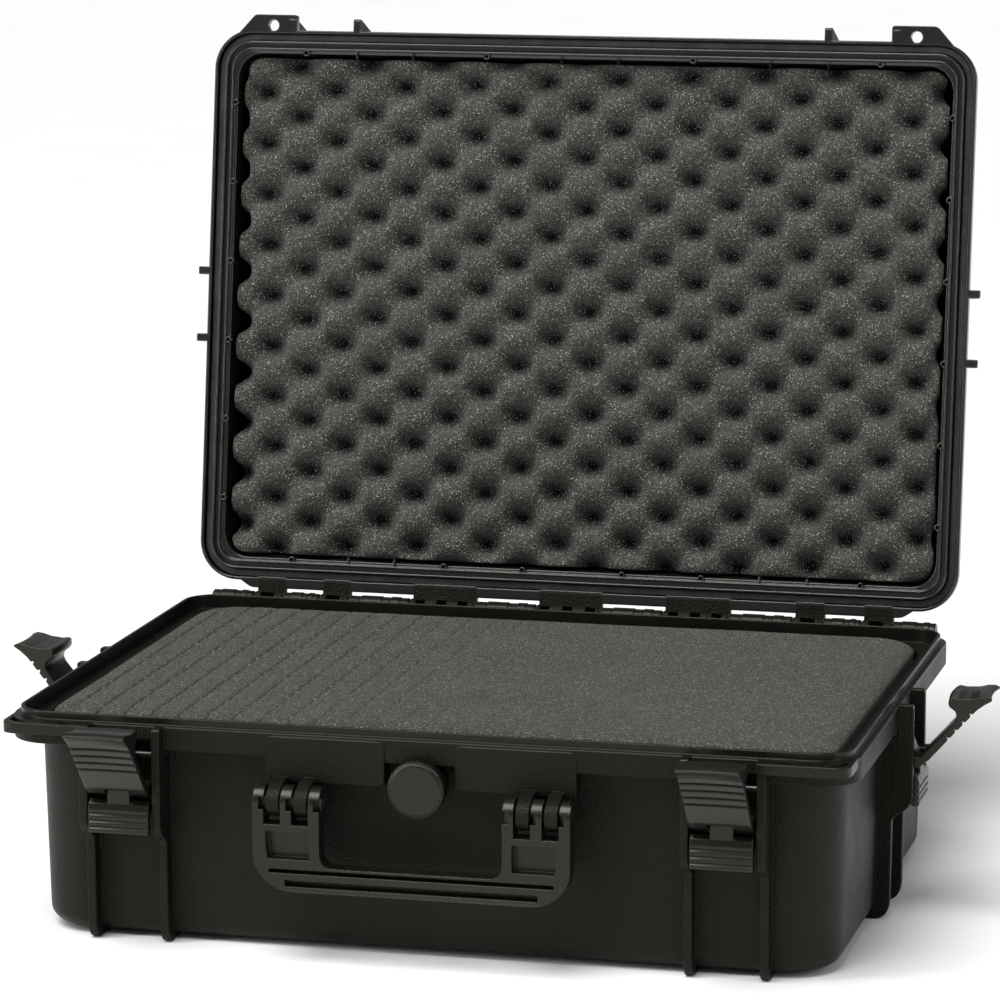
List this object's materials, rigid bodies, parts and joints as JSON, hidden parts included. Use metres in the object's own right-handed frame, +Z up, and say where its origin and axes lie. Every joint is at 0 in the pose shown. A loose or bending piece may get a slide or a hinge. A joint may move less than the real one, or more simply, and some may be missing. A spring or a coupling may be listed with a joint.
{
  "type": "hard equipment case",
  "caption": "Moulded plastic equipment case with a hinged lid, draw latches, a folding carry handle, a pressure valve and foam lining, shown open.",
  "frame": {"origin": "middle of the footprint of the open case, on the ground under the feet", "axes": "+X to the right as seen from the front, +Y from the front latches back to the hinge, +Z up"},
  "size_m": [0.6443, 0.5712, 0.5383],
  "materials": {
    "shell": "fine moulded grain, satin",
    "trim": "smooth satin",
    "steel": "plain turned",
    "foam": "open-cell foam",
    "seal": "matt"
  },
  "bodies": {
    "base": {"base_shell": "shell", "base_foam_pad": "foam", "base_foam_block": "foam", "valve_body": "trim", "valve_seal": "seal", "handle_pin_left": "steel", "handle_pin_right": "steel", "hinge_pin_left": "steel", "hinge_pin_right": "steel", "link_pin_front_left": "steel", "link_pin_front_right": "steel", "link_pin_side_left": "steel", "link_pin_side_right": "steel"},
    "lid": {"lid_shell": "shell", "lid_gasket": "seal", "lid_foam": "foam"},
    "carry_handle": {"handle": "trim"},
    "valve_knob": {"valve_cap": "trim"},
    "link_front_left": {"latch_link_front_left": "trim", "lever_pin_front_left": "steel"},
    "lever_front_left": {"latch_lever_front_left": "trim"},
    "link_front_right": {"latch_link_front_right": "trim", "lever_pin_front_right": "steel"},
    "lever_front_right": {"latch_lever_front_right": "trim"},
    "link_side_left": {"latch_link_side_left": "trim", "lever_pin_side_left": "steel"},
    "lever_side_left": {"latch_lever_side_left": "trim"},
    "link_side_right": {"latch_link_side_right": "trim", "lever_pin_side_right": "steel"},
    "lever_side_right": {"latch_lever_side_right": "trim"}
  },
  "joints": [
    {"name": "lid_hinge", "type": "hinge", "parent": "base", "child": "lid", "pos_m": [0, 0.1718, 0.1355], "axis": [1, 0, 0], "range_deg": [0, 98.3]},
    {"name": "handle_pivot", "type": "hinge", "parent": "base", "child": "carry_handle", "pos_m": [0, -0.239, 0.1005], "axis": [-1, 0, 0], "range_deg": [0, 100]},
    {"name": "valve_turn", "type": "hinge", "parent": "base", "child": "valve_knob", "pos_m": [0, -0.232, 0.1108], "axis": [0, -1, 0], "range_deg": [0, 270]},
    {"name": "link_pivot_front_left", "type": "hinge", "parent": "base", "child": "link_front_left", "pos_m": [-0.1883, -0.2228, 0.1207], "axis": [-1, 0, 0], "range_deg": [0, 60]},
    {"name": "lever_pivot_front_left", "type": "hinge", "parent": "link_front_left", "child": "lever_front_left", "pos_m": [-0.1883, -0.2267, 0.0999], "axis": [1, 0, 0], "range_deg": [-42, 0]},
    {"name": "link_pivot_front_right", "type": "hinge", "parent": "base", "child": "link_front_right", "pos_m": [0.1883, -0.2228, 0.1207], "axis": [-1, 0, 0], "range_deg": [0, 60]},
    {"name": "lever_pivot_front_right", "type": "hinge", "parent": "link_front_right", "child": "lever_front_right", "pos_m": [0.1883, -0.2267, 0.0999], "axis": [1, 0, 0], "range_deg": [-42, 0]},
    {"name": "link_pivot_side_left", "type": "hinge", "parent": "base", "child": "link_side_left", "pos_m": [-0.2631, -0.034, 0.1207], "axis": [0, 1, 0], "range_deg": [0, 60]},
    {"name": "lever_pivot_side_left", "type": "hinge", "parent": "link_side_left", "child": "lever_side_left", "pos_m": [-0.267, -0.034, 0.0999], "axis": [0, -1, 0], "range_deg": [-39, 0]},
    {"name": "link_pivot_side_right", "type": "hinge", "parent": "base", "child": "link_side_right", "pos_m": [0.2631, -0.034, 0.1207], "axis": [0, -1, 0], "range_deg": [0, 60]},
    {"name": "lever_pivot_side_right", "type": "hinge", "parent": "link_side_right", "child": "lever_side_right", "pos_m": [0.267, -0.034, 0.0999], "axis": [0, 1, 0], "range_deg": [-42, 0]}
  ]
}
